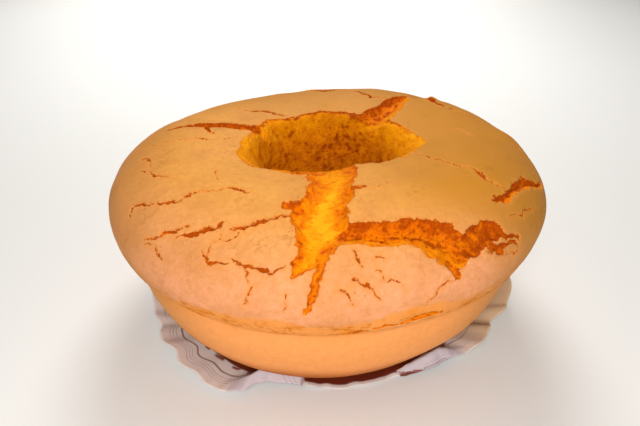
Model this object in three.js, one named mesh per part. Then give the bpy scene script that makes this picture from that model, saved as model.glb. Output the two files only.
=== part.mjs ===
import * as THREE from 'three';

// A ring sponge cake with a split, domed crust, on the round paper sheet that it comes with.
// Millimetres, +Z up. The origin is on the ring's axis, at the underside of the paper.
// Bearings are in degrees from +X towards +Y, so the front of the cake is at -90.

// Driving dimensions of the cake. The moulded body took its shape from the tin, and the
// crust rose over the tin's rim and spread.
const CRUST_RADIUS = 140;
const CRUST_WIDEST_HEIGHT = 92;
const CREST_RADIUS = 87;
const CREST_HEIGHT = 123;
const SEAM_RADIUS = 130.5;
const SEAM_HEIGHT = 70;
const BASE_RADIUS = 82;
const TORN_RIM_RADIUS = 54;
const TORN_RIM_HEIGHT = 119;
const THROAT_RADIUS = 43;
const THROAT_HEIGHT = 92;
const HOLE_BASE_RADIUS = 40;

// How full each rounded stretch is: 2 is an ellipse, more is squarer.
const BODY_FULLNESS = 1.88;
const LIP_FULLNESS = 2;
const DOME_FULLNESS = 1.95;

// The cake leans and spreads a little, and its top isn't quite even.
const LEAN = 3;
const LEAN_BEARING = -10;
const SPREAD = 1.7;
const SPREAD_BEARING = -45;
const TOP_WAVES = [
  { order: 3, height: 1.8, bearing: 58 },
  { order: 7, height: 0.5, bearing: 75 },
];

// The torn rim of the hole: each stop is a bearing and the rim's radius there.
const RIM_STOPS = [
  [-164, 54], [-148, 54], [-125, 60], [-110, 57], [-95, 50], [-80, 46], [-66, 46], [-50, 54],
  [-33, 61], [-8, 64], [8, 58], [30, 53], [64, 48], [78, 50], [96, 58], [118, 55], [135, 58],
  [161, 51], [178, 51],
];

// Gorges where the crust split: each stop is a bearing, a radius, and the width and depth there.
const GORGES = [
  {
    name: 'front',
    stops: [
      [-87, 46, 28, 3], [-88, 78, 25, 5], [-91, 98, 25, 8], [-91, 110, 27, 9],
      [-92, 120, 21, 8], [-93, 129, 14, 6], [-94, 136, 8, 4], [-93, 142, 4, 2],
    ],
  },
  {
    name: 'right',
    stops: [
      [-88, 117, 12, 8], [-76, 120, 13, 8], [-69, 123, 18, 9], [-64, 132, 20, 9],
      [-58, 134, 12, 7], [-50, 135, 7, 4],
    ],
  },
  {
    name: 'back right',
    stops: [[45, 50, 22, 7], [46, 68, 16, 6], [49, 88, 8, 3]],
  },
  {
    name: 'back left',
    stops: [[152, 50, 14, 5], [157, 72, 9, 4], [166, 100, 7, 2]],
  },
];
// Shares of a gorge's half width: its floor is level within the first and its wall ends at the second.
const GORGE_FLOOR = 0.4;
const GORGE_BRINK = 1.25;
// The share of a gorge's depth that goes inwards, not down, at the crust's widest radius.
const GORGE_SIDE_SHARE = 0.6;

// Driving dimensions of the paper sheet. Its middle lies flat, and its margin curls up.
const PAPER_THICKNESS = 0.5;
const PAPER_FLAT_RADIUS = 78;
const PAPER_CURL = 1.8;
const CLEARANCE = 0.3;

// The sheet's edge: each stop is a bearing, the edge's radius and its rise above the table.
const PAPER_EDGE = [
  [-90, 105, 0.6], [-102, 105, 1.5], [-107, 106, 2.5], [-115, 121, 4], [-124, 127, 6], [-140, 127, 11],
  [-147, 123, 9], [-154, 126, 13], [-168, 127, 17], [170, 126, 14], [152, 120, 6], [140, 124, 11],
  [115, 120, 8], [90, 123, 13], [70, 119, 6], [35, 125, 12], [5, 136, 17], [-10, 137, 18],
  [-20, 134, 13], [-25, 126, 6], [-31, 128, 13], [-37, 127, 9], [-41, 123, 5], [-46, 118, 4],
  [-55, 113.5, 3], [-64, 107.5, 1], [-73, 107, 0.8],
];

// A fold that stands up in the margin short of its edge: each stop is a bearing and its height.
const PAPER_FOLD = [[-69, 0], [-66, 1], [-59, 6.5], [-53, 10.5], [-49, 11.5], [-46, 9], [-42, 3], [-38, 0]];
// Shares of the margin where the fold starts to rise and where it is highest.
const FOLD_START = 0.3;
const FOLD_CREST = 0.82;
// How much of the fold's height is gone again at the edge.
const FOLD_DROP = 0.8;
const MARGIN_RUFFLES = [
  { order: 13, height: 0.9, bearing: 8 },
  { order: 21, height: 0.6, bearing: 3 },
];

// Mesh steps
const CAKE_STEPS_AROUND = 116;
const PAPER_STEPS_AROUND = 96;
const BODY_STEPS = 5;
const LIP_STEPS = 2;
const DOME_STEPS = 13;
const SLOPE_STEPS = 5;
const THROAT_STEPS = 3;
const WALL_STEPS = 2;
const MARGIN_STEPS = 5;
// The cake's steps are closer together round the front, where the gorges are.
const CROWDING = 0.45;
const CROWDED_BEARING = -75;

const BASE_HEIGHT = PAPER_THICKNESS + CLEARANCE;

const radians = THREE.MathUtils.degToRad;
const lerp = THREE.MathUtils.lerp;
const smoothstep = THREE.MathUtils.smoothstep;

// The angle from one bearing to another, from -180 to 180 degrees.
function turnBetween(from, to) {
  return THREE.MathUtils.euclideanModulo(to - from + 180, 360) - 180;
}

// A wave round the ring that peaks at the given bearing.
function wave(bearing, order, peakBearing) {
  return Math.cos(radians(order * (bearing - peakBearing)));
}

function sumOfWaves(bearing, waves) {
  return waves.reduce((sum, w) => sum + w.height * wave(bearing, w.order, w.bearing), 0);
}

// Eases one value of the stops from each stop's bearing to the next, all the way round.
function alongStops(bearing, stops, value) {
  const sorted = [...stops].sort((a, b) => turnBetween(bearing, a[0]) - turnBetween(bearing, b[0]));
  const ahead = sorted.find((stop) => turnBetween(bearing, stop[0]) > 0) ?? sorted[0];
  const behind = sorted.findLast((stop) => turnBetween(bearing, stop[0]) <= 0) ?? sorted.at(-1);
  const share = -turnBetween(bearing, behind[0]) / turnBetween(behind[0], ahead[0]);
  return lerp(behind[value], ahead[value], smoothstep(share, 0, 1));
}

// A quarter of a superellipse between a level end and an upright end, each [radius, height].
function quarterRound(level, upright, fullness, share) {
  const angle = radians(90 * share);
  const out = Math.sin(angle) ** (2 / fullness);
  const up = Math.cos(angle) ** (2 / fullness);
  return new THREE.Vector2(lerp(level[0], upright[0], out), lerp(upright[1], level[1], up));
}

const BASE_EDGE = [BASE_RADIUS, BASE_HEIGHT];
const SEAM = [SEAM_RADIUS, SEAM_HEIGHT];
const WIDEST = [CRUST_RADIUS, CRUST_WIDEST_HEIGHT];
const CREST = [CREST_RADIUS, CREST_HEIGHT];
const TORN_RIM = [TORN_RIM_RADIUS, TORN_RIM_HEIGHT];
const THROAT = [THROAT_RADIUS, THROAT_HEIGHT];
const HOLE_FOOT = [HOLE_BASE_RADIUS, BASE_HEIGHT];

function bodyPoint(share) {
  return quarterRound(BASE_EDGE, SEAM, BODY_FULLNESS, share);
}

function lipPoint(share) {
  return quarterRound([SEAM_RADIUS, SEAM_HEIGHT], WIDEST, LIP_FULLNESS, share);
}

function domePoint(share) {
  return quarterRound(CREST, WIDEST, DOME_FULLNESS, 1 - share);
}

function slopePoint(share) {
  const height = lerp(CREST_HEIGHT, TORN_RIM_HEIGHT, share * share);
  return new THREE.Vector2(lerp(CREST_RADIUS, TORN_RIM_RADIUS, share), height);
}

function throatPoint(share) {
  return quarterRound(TORN_RIM, THROAT, DOME_FULLNESS, share);
}

function wallPoint(share) {
  return new THREE.Vector2(lerp(THROAT[0], HOLE_FOOT[0], share), lerp(THROAT[1], HOLE_FOOT[1], share));
}

// The points along one stretch of the section, without its last one.
function stretch(pointAt, steps) {
  return Array.from({ length: steps }, (_, i) => pointAt(i / steps));
}

// The cake's closed section, from the hole's foot outwards, up, and back through the hole.
function cakeSection() {
  const foot = new THREE.Vector2(...HOLE_FOOT);
  return [
    foot,
    ...stretch(bodyPoint, BODY_STEPS),
    ...stretch(lipPoint, LIP_STEPS),
    ...stretch(domePoint, DOME_STEPS),
    ...stretch(slopePoint, SLOPE_STEPS),
    ...stretch(throatPoint, THROAT_STEPS),
    ...stretch(wallPoint, WALL_STEPS),
    foot.clone(),
  ];
}

// A full turn of a section about +Z.
function turned(section, steps) {
  const geometry = new THREE.LatheGeometry(section, steps);
  geometry.rotateX(Math.PI / 2);
  return geometry;
}

// Moves every vertex to where place(radius, bearing, height) puts it.
function reshape(geometry, place) {
  const positions = geometry.attributes.position;
  for (let i = 0; i < positions.count; i += 1) {
    const x = positions.getX(i);
    const y = positions.getY(i);
    const moved = place(Math.hypot(x, y), THREE.MathUtils.radToDeg(Math.atan2(y, x)), positions.getZ(i));
    const plan = planPoint(moved.bearing, moved.radius);
    positions.setXYZ(i, plan.x, plan.y, moved.height);
  }
  geometry.computeVertexNormals();
  return geometry;
}

function planPoint(bearing, radius) {
  return new THREE.Vector2(radius * Math.cos(radians(bearing)), radius * Math.sin(radians(bearing)));
}

// How deep one gorge is at a plan point: nothing beyond its brink, all of it on its floor.
function gorgeDepthAt(point, stops) {
  let deepest = 0;
  for (let i = 0; i + 1 < stops.length; i += 1) {
    const [bearing, radius, width, depth] = stops[i];
    const [nextBearing, nextRadius, nextWidth, nextDepth] = stops[i + 1];
    const start = planPoint(bearing, radius);
    const along = planPoint(nextBearing, nextRadius).sub(start);
    const share = THREE.MathUtils.clamp(point.clone().sub(start).dot(along) / along.lengthSq(), 0, 1);
    const halfWidth = lerp(width, nextWidth, share) / 2;
    const away = point.distanceTo(start.addScaledVector(along, share)) / halfWidth;
    const inside = 1 - smoothstep(away, GORGE_FLOOR, GORGE_BRINK);
    deepest = Math.max(deepest, lerp(depth, nextDepth, share) * inside);
  }
  return deepest;
}

function gorgeRelief(bearing, radius) {
  return Math.max(...GORGES.map((gorge) => gorgeDepthAt(planPoint(bearing, radius), gorge.stops)));
}

// The gorges cut straight down through the top and inwards through the crust's side, and
// end at the seam. The torn rim wanders with its stops, and the throat below it evens out.
function cakePlace(sectionRadius, evenBearing, sectionHeight) {
  const crowding = CROWDING * Math.sin(radians(evenBearing - CROWDED_BEARING));
  const bearing = evenBearing - THREE.MathUtils.radToDeg(crowding);
  const share = (sectionHeight - BASE_HEIGHT) / (CREST_HEIGHT - BASE_HEIGHT);
  const spread = SPREAD * share * wave(bearing, 2, SPREAD_BEARING);
  const wander = alongStops(bearing, RIM_STOPS, 1) - TORN_RIM_RADIUS;
  const nearRim = smoothstep(sectionHeight, THROAT_HEIGHT, TORN_RIM_HEIGHT)
    * (1 - smoothstep(sectionRadius, TORN_RIM_RADIUS, CREST_RADIUS));
  const radius = sectionRadius + spread + wander * nearRim;
  const lean = share * (LEAN * wave(bearing, 1, LEAN_BEARING) + sumOfWaves(bearing, TOP_WAVES));
  const relief = gorgeRelief(bearing, radius) * smoothstep(sectionHeight, SEAM_HEIGHT, CRUST_WIDEST_HEIGHT);
  const steep = smoothstep(sectionRadius, CREST_RADIUS, CRUST_RADIUS);
  return {
    bearing,
    radius: radius - relief * steep * GORGE_SIDE_SHARE,
    height: sectionHeight + lean - relief * (1 - steep * GORGE_SIDE_SHARE),
  };
}

function cakeMesh() {
  const geometry = reshape(turned(cakeSection(), CAKE_STEPS_AROUND), cakePlace);
  const material = new THREE.MeshStandardMaterial({ color: 0xe8a45c, roughness: 0.85, metalness: 0 });
  const mesh = new THREE.Mesh(geometry, material);
  mesh.name = 'cake_ring';
  return mesh;
}

// The sheet's section before it is cut to its edge: the margin spans radii 1 to 2 flat radii.
function paperSection() {
  const shares = Array.from({ length: MARGIN_STEPS + 1 }, (_, i) => i / MARGIN_STEPS);
  const rings = shares.map((share) => PAPER_FLAT_RADIUS * (1 + share));
  return [
    new THREE.Vector2(0, 0),
    ...rings.map((radius) => new THREE.Vector2(radius, 0)),
    ...rings.reverse().map((radius) => new THREE.Vector2(radius, PAPER_THICKNESS)),
    new THREE.Vector2(0, PAPER_THICKNESS),
  ];
}

// The height of the cake's moulded body above the table at a radius.
function bodyHeightAt(radius) {
  const out = Math.max(0, radius - BASE_RADIUS) / (SEAM_RADIUS - BASE_RADIUS);
  const angle = Math.asin(Math.min(1, out) ** (BODY_FULLNESS / 2));
  return lerp(SEAM_HEIGHT, BASE_HEIGHT, Math.cos(angle) ** (2 / BODY_FULLNESS));
}

// The flat middle stays on the table. The margin rises outwards and never meets the cake.
function paperPlace(sectionRadius, bearing, sectionHeight) {
  const share = Math.max(0, sectionRadius / PAPER_FLAT_RADIUS - 1);
  if (share === 0) {
    return { bearing, radius: sectionRadius, height: sectionHeight };
  }
  const radius = lerp(PAPER_FLAT_RADIUS, alongStops(bearing, PAPER_EDGE, 1), share);
  const curl = alongStops(bearing, PAPER_EDGE, 2) * share ** PAPER_CURL;
  const ruffle = sumOfWaves(bearing, MARGIN_RUFFLES) * share * share;
  const foldRise = smoothstep(share, FOLD_START, FOLD_CREST);
  const foldShare = foldRise * (1 - FOLD_DROP * smoothstep(share, FOLD_CREST, 1));
  const fold = alongStops(bearing, PAPER_FOLD, 1) * foldShare;
  const ceiling = Math.max(0, bodyHeightAt(radius) - PAPER_THICKNESS - 2 * CLEARANCE);
  const rise = THREE.MathUtils.clamp(curl + ruffle + fold, 0, ceiling);
  return { bearing, radius, height: sectionHeight + rise };
}

function paperMesh() {
  const geometry = reshape(turned(paperSection(), PAPER_STEPS_AROUND), paperPlace);
  const material = new THREE.MeshStandardMaterial({ color: 0xe3d8d4, roughness: 0.7, metalness: 0 });
  const mesh = new THREE.Mesh(geometry, material);
  mesh.name = 'paper_sheet';
  return mesh;
}

const cake = new THREE.Group();
cake.add(cakeMesh(), paperMesh());

export default cake;
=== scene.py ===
"""A ring sponge cake with a split, domed crust, standing on its ruffled paper sheet.

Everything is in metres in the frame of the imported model: +Z up, the origin on the ring's axis
at the underside of the paper, the front of the cake towards -Y. Tables of routes and stops are
in degrees, turning from +X towards +Y, and in millimetres.
"""

import math
from functools import partial

import bmesh
import bpy
import numpy as np
from mathutils import Euler, Matrix, Vector, noise


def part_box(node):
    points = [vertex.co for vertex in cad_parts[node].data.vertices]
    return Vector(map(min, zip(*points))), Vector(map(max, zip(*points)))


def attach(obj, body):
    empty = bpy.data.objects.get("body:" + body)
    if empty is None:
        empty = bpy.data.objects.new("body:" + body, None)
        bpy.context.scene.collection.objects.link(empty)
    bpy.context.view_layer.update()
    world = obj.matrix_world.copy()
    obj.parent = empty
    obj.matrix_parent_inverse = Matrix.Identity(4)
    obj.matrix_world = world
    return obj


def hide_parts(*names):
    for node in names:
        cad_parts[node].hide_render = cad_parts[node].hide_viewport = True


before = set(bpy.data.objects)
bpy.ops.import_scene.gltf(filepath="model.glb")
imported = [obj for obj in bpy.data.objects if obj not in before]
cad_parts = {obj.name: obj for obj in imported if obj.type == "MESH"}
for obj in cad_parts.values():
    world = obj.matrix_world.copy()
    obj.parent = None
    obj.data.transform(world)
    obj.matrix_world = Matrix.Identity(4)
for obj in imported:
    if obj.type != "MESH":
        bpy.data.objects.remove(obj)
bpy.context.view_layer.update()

bl_info = {
    "name": "Ring sponge cake",
    "version": (1, 0, 0),
    "blender": (4, 5, 0),
    "location": "3D View > Sidebar > Cake",
    "description": "Models a ring sponge cake with a split crust on its paper sheet",
    "category": "Add Mesh",
}

MM = 0.001
CAKE_LOW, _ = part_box("cake_ring")

# The seed of the drift in torn edges.
DRIFT_SEED = 2

# How full each rounded stretch of the section is: 2 is an ellipse, and more is squarer.
BODY_FULLNESS = 1.88
LIP_FULLNESS = 2.0
DOME_FULLNESS = 1.95

# Bearings of the far side, of the side that the cake leans up to, and of its longer diagonal.
FAR = 90
LEAN_BEARING = -10
SPREAD_BEARING = -45

# The torn rim of the hole: each stop is a bearing and the rim's radius there.
RIM_STOPS = (
    (-170, 56.5), (-160, 60.5), (-148, 59.5), (-134, 58), (-126, 53.5), (-118, 51.5), (-108, 49), (-98, 46.5),
    (-80, 47.5), (-66, 51), (-50, 56), (-33, 60), (-8, 64), (8, 58), (30, 53), (64, 48), (78, 50), (96, 58),
    (118, 55), (135, 58), (161, 51), (176, 52),
)

# How the crust's top rises and falls: waves round the ring, their height and where they crest.
TOP_WAVES = ((3, 1.8, 58), (7, 0.5, 75))

# Low swellings of the dome: a bearing, a reach, how wide and how high.
SWELLINGS = (
    (36, 116, 14, 1.2), (-35, 112, 16, 1.0), (-120, 108, 12, 0.9), (-60, 95, 14, 0.8), (165, 120, 16, 0.8),
    (97, 101, 9, 1.5), (76, 104, 12, -3.0), (61, 105, 9, -1.9), (45, 108, 8, -4.6), (38, 104, 4.5, 2.6),
    (30, 107, 8, -1.2), (4, 124, 14, 3.2), (-14, 130, 8, -1.0), (-171, 134, 12, -1.0),
)

# The crust's lower edge, where the tender skin starts: each stop is a bearing and a reach.
CRUST_EDGE = (
    (-135, 172), (-118, 164), (-106, 163), (-99, 161), (-90, 166), (-71, 158), (-60, 163), (-46, 164),
    (-20, 168), (10, 165), (40, 169), (75, 164), (105, 168), (140, 165), (170, 170), (-160, 167),
)

# A floor in a gorge's middle that still has a shaded wall and a lit one.
MIDDLE = 0.0001

# Gorges where the crust split down to the crumb. First how pale their crumb is at both ends, how
# far their floor lies from the middle towards the outside, and how brown their brink is. Then the
# stops: a bearing, a reach over the crust from the axis, a half width and a depth.
GORGES = (
    (0.50, 1.0, 0.0, 0.05, (-87, 42, 14, 2), (-87, 52, 14, 3), (-87, 67, 13, 4), (-88, 78, 12.3, 5),
     (-89, 88, 11.5, 6), (-91, 98, 12.5, 8)),
    (1.0, 0.55, 0.0, 0.05, (-91, 98, 12.5, 8), (-91.5, 108, 14, 9), (-91.5, 118, 11.5, 8),
     (-93, 127, 7.5, 6), (-95, 133, 4.4, 4), (-96, 137.5, 1.6, 2)),
    (0.35, 0.30, 0.0, 0.0, (-90.5, 127, 2.4, 3), (-91, 133, 1.7, 2.2), (-92, 141, 1.7, 2.0),
     (-92.5, 148, 1.5, 1.8), (-94, 155, 0.7, 1)),
    (0.12, 0.08, 0.25, 0.12, (-88, 117, 6, 8), (-80, 119, 6, 8), (-76, 120, 6.5, 8), (-71, 122, 7.8, 9),
     (-68, 124, 9.5, 9), (-65, 130, 11, 9), (-63, 135, 9.5, 8)),
    (0.25, -0.10, 0.0, 0.15, (-63, 135, 9, 8), (-60, 136, 6, 7), (-56, 133, 6, 7), (-52, 133, 5.5, 6),
     (-50, 135, 3.4, 4), (-48, 139, 1.3, 2), (-45, 143, 0.8, 1)),
    (0.4, 0.2, 0.0, 0.1, (-64.5, 135, 7, 6), (-64.5, 141, 4, 4), (-64, 147, 0.8, 1)),
    (0.1, 0.1, 0.0, 0.4, (-56, 135, 2.5, 3), (-53, 142, 2.4, 3), (-48, 143, 1.4, 2), (-46, 147, 0.6, 1)),
    (0.12, 0.12, MIDDLE, 0.25, (43, 48, 12, 5), (44, 63, 10.5, 5), (46, 74, 9, 5), (47, 83, 7, 4),
     (47.5, 90, 3, 3), (47.5, 95, 0.8, 1)),
    (0.30, 0.15, 0.0, 0.5, (152, 50, 7, 5), (156, 58, 6, 5), (162, 68, 5.4, 4.8), (168, 81, 5.4, 4.6),
     (171, 94, 3.6, 3.2), (172.5, 108, 1, 1)),
    (0.25, 0.2, 0.0, 0.5, (170, 82, 2.6, 2.5), (175, 78, 1.5, 1.5), (179, 74, 0.5, 1)),
    (-0.05, -0.05, 0.0, 0.1, (97, 97, 0.8, 1.2), (93, 95, 2.4, 2.8), (88, 94, 2.8, 3.2),
     (84, 94, 2.4, 2.8), (79, 95, 0.8, 1)),
    (-0.1, -0.1, 0.0, 0.1, (40, 103, 0.8, 1.2), (36, 100, 2.6, 3.2), (31, 98, 2.8, 3.4), (27, 98, 1, 1.5)),
    (-0.05, -0.15, 0.3, 0.2, (-46, 120, 0.8, 1), (-42, 123, 2.4, 3), (-38, 123, 1.9, 3), (-34, 124, 3.3, 4),
     (-31, 125, 2.4, 4), (-27, 127, 3.3, 4), (-26, 131, 2.2, 3), (-23, 136, 2.2, 3), (-18, 140, 0.7, 1)),
    (0.4, 0.5, 0.0, 0.3, (-102, 96, 2.2, 3), (-98, 96, 4, 6), (-94, 97, 4, 6)),
    (0.4, 0.5, 0.0, 0.2, (-76, 85, 1.2, 2), (-79, 85, 2.2, 3), (-82, 85, 3, 4)),
    (0.4, 0.7, 0.0, 0.0, (-150, 60, 0.6, 0.8), (-138, 59, 1.2, 1), (-126, 55, 2.2, 1.2),
     (-113, 52.5, 4, 1.5), (-101, 52, 6.5, 2.2)),
)

# Cracks through the crust: the half width and depth at the widest, how pale the crumb in it is,
# then the route, a bearing and a reach at each stop.
CRACKS = (
    (1.04, 2.6, 0.03, (-94, 104), (-99, 105), (-102, 104), (-105, 108), (-108, 112), (-112, 117),
     (-114, 119)),
    (1.04, 2.2, 0.03, (-116, 115), (-117, 119), (-120, 122), (-122, 126), (-125, 130)),
    (0.73, 1.8, 0.07, (-124, 122), (-126, 126), (-128, 130), (-130, 134), (-134, 141)),
    (0.85, 1.7, -0.01, (-116, 90), (-120, 91), (-124, 91), (-127, 96), (-130, 100), (-132, 103),
     (-134, 109), (-134, 114), (-138, 119), (-140, 124)),
    (0.8, 1.8, -0.05, (-140, 124), (-144, 127), (-146, 131), (-144, 137)),
    (1.3, 2.2, -0.04, (120, 57), (125, 64), (129, 71), (133, 74), (137, 79)),
    (0.5, 0.9, 0.03, (138, 84), (139, 93)),
    (0.43, 0.8, 0.03, (-177, 62), (-173, 72), (-174, 90), (-174, 104), (-176, 126)),
    (0.72, 1.4, -0.01, (-168, 117), (-165, 113), (-160, 113)),
    (0.67, 1.4, -0.01, (-160, 119), (-156, 114), (-151, 111), (-145, 104)),
    (0.43, 0.8, 0.03, (-140, 84), (-132, 89)),
    (0.65, 1.4, 0.01, (-34, 62), (-38, 76), (-40, 92), (-38, 101), (-40, 110), (-37, 123)),
    (1.25, 2.0, -0.04, (77, 90), (69, 83), (62, 76), (54, 80)),
    (0.9, 1.8, -0.04, (27, 98), (22, 103), (15, 111)),
    (0.36, 0.7, 0.03, (3, 87), (-4, 94)),
    (0.43, 0.7, 0.07, (-79, 85), (-74, 88), (-68, 85)),
    (0.72, 1.2, 0.07, (-118, 133), (-116, 134), (-115, 137), (-112, 136), (-110, 135)),
    (0.72, 1.2, 0.09, (-110, 132), (-107, 134), (-104, 135), (-101, 136), (-98, 132)),
    (0.65, 1.2, 0.07, (-107, 134), (-106, 138), (-105, 143)),
    (0.58, 0.9, 0.07, (-104, 143), (-105, 148), (-106, 154)),
    (0.43, 0.7, 0.07, (-110, 119), (-112, 123), (-114, 126)),
    (0.43, 0.7, 0.07, (-115, 123), (-116, 128), (-116, 133)),
    (0.43, 0.6, 0.07, (-133, 142), (-130, 139), (-127, 144), (-125, 142)),
    (0.5, 0.9, 0.11, (-98, 146), (-97, 150), (-98, 155)),
    (0.7, 1.5, 0.07, (-84, 126), (-84, 130), (-83, 134)),
    (0.85, 1.6, -0.03, (-80, 131), (-78, 132)),
    (0.5, 1.0, 0.07, (-80, 136), (-79, 141), (-76, 145), (-75, 149)),
    (0.58, 1.0, 0.07, (-85, 139), (-82, 144), (-80, 150)),
    (0.65, 1.1, 0.09, (-88, 142), (-86, 145), (-85, 151)),
    (0.5, 0.8, 0.07, (-64, 146), (-68, 151), (-71, 158)),
    (0.43, 0.8, -0.01, (-45, 132), (-41, 135), (-37, 136), (-32, 140)),
    (0.36, 0.6, 0.03, (-57, 141), (-50, 148), (-46, 150)),
    (0.73, 1.8, 0.07, (70, 118), (62, 124), (52, 126), (44, 134)),
    (0.65, 1.2, 0.03, (110, 112), (104, 121), (106, 132), (100, 142)),
    (0.8, 1.8, -0.03, (140, 118), (146, 126), (156, 128), (162, 136)),
    (0.58, 1.0, 0.03, (8, 118), (2, 126), (-4, 127), (-7, 136)),
    (0.58, 1.0, 0.07, (84, 134), (78, 141), (70, 142), (66, 150)),
    (1.0, 0.8, 0.30, (-121, 170), (-118, 172), (-115, 171)),
    (1.1, 0.9, 0.30, (-112, 173), (-110, 175), (-108, 174)),
    (0.9, 0.8, 0.35, (-105, 174), (-102, 176), (-100, 175)),
    (1.0, 0.8, 0.30, (-97, 174), (-94, 175), (-91, 177), (-89, 175)),
    (1.0, 1.2, 0.30, (-88, 175), (-85, 173), (-83, 171), (-81, 172)),
    (1.36, 1.6, 0.32, (-80, 170), (-78, 168), (-76, 169)),
    (1.8, 1.8, 0.34, (-75, 168), (-72, 166), (-69, 166), (-66, 168)),
    (0.6, 0.8, 0.15, (-60, 168), (-52, 170), (-44, 168)),
    (1.02, 1.2, 0.13, (150, 170), (162, 173), (176, 171)),
    (1.1, 1.3, 0.11, (20, 170), (34, 174), (50, 171)),
    (0.85, 1.0, 0.13, (84, 172), (98, 175), (112, 171)),
)

# The paper's edge: each stop is a bearing, the edge's radius and its rise above the table.
PAPER_EDGE = (
    (-90, 105, 0.6), (-102, 105, 1.5), (-108, 107.5, 3), (-111, 112.5, 4), (-114, 121.5, 4), (-120, 127, 4),
    (-124, 128, 6), (-129, 126.5, 8), (-134, 129, 9), (-138, 126.5, 10), (-143, 129, 12), (-147, 128, 12),
    (-151, 124, 10), (-155, 126, 13), (-168, 127, 17), (170, 126, 14), (152, 120, 6), (140, 124, 11),
    (115, 120, 8), (90, 123, 13), (70, 119, 6), (35, 125, 12), (5, 136, 17), (-10, 137, 18), (-20, 134, 13),
    (-25, 126, 6), (-31, 128, 13), (-37, 127, 9), (-41, 123, 5), (-46, 118, 4.5), (-51, 114.5, 2.5),
    (-57, 111.5, 1.5), (-62, 109, 1), (-66, 106, 0.8), (-73, 106, 0.8),
)

# Folds in the paper's margin, which stand up short of its edge: a bearing, the fold's height and
# the share of the margin where it is highest.
PAPER_FOLDS = (
    (-121, 0, 0.8), (-112, 8, 0.8), (-106, 6, 0.8), (-99, 5, 0.8), (-95, 0, 0.8), (-69, 0, 0.86),
    (-66, 0.8, 0.86), (-60, 5.5, 0.86), (-56, 7.8, 0.86), (-52, 9.8, 0.86), (-49, 9.6, 0.86),
    (-47, 7.4, 0.86), (-45, 4.9, 0.86), (-43, 2.4, 0.86), (-40, 0, 0.86), (18, 0, 0.8), (24, 6, 0.8),
    (31, 0, 0.8), (98, 0, 0.8), (108, 8, 0.8), (116, 0, 0.8),
)


def srgb(value):
    """A hex colour as the linear colour that Blender's sockets take."""
    channels = [int(value[i:i + 2], 16) / 255 for i in (1, 3, 5)]
    return tuple(c / 12.92 if c <= 0.04045 else ((c + 0.055) / 1.055) ** 2.4 for c in channels) + (1.0,)


def size_property(name, millimetres, description):
    """A length in metres, given here in millimetres."""
    return bpy.props.FloatProperty(
        name=name, description=description, default=millimetres * MM, min=0.0, precision=5, unit="LENGTH")


def colour_property(name, value, description):
    """A colour, given here as sRGB hex."""
    return bpy.props.FloatVectorProperty(
        name=name, description=description, default=srgb(value), size=4, min=0.0, max=1.0, subtype="COLOR")


class CakeSizes(bpy.types.PropertyGroup):
    """The sizes of the cake's section and of its relief."""

    crust_radius: size_property("Crust radius", 140, "Widest radius of the risen crust")
    widest_height: size_property("Widest height", 92, "Height of the crust's widest ring")
    crest_radius: size_property("Crest radius", 87, "Radius of the highest ring")
    crest_height: size_property("Crest height", 123, "Height of the highest ring")
    seam_radius: size_property("Seam radius", 130.5, "Radius of the seam that the tin's rim left")
    seam_height: size_property("Seam height", 70, "Height of that seam")
    base_radius: size_property("Base radius", 82, "Radius of the flat base")
    rim_radius: size_property("Torn rim radius", 54, "Mean radius of the hole's torn rim")
    rim_height: size_property("Torn rim height", 119, "Height of the hole's torn rim")
    throat_radius: size_property("Throat radius", 43, "Radius of the hole below the torn rim")
    throat_height: size_property("Throat height", 92, "Height where the torn rim meets the hole's wall")
    hole_base_radius: size_property("Hole base radius", 40, "Radius of the hole at the base")
    lean: size_property("Lean", 3, "How much higher the cake stands on its leaning side")
    spread: size_property("Spread", 1.7, "How much wider the ring is along its longer diagonal")
    sideways: size_property("Sideways", 1.2, "How far the crust has risen to the right of the base")
    crust_thickness: size_property("Crust thickness", 0.55, "Step from the crust down to the crumb")
    steps_around: bpy.props.IntProperty(
        name="Steps around", description="Steps of the section's turn", default=300, min=60)


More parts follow.
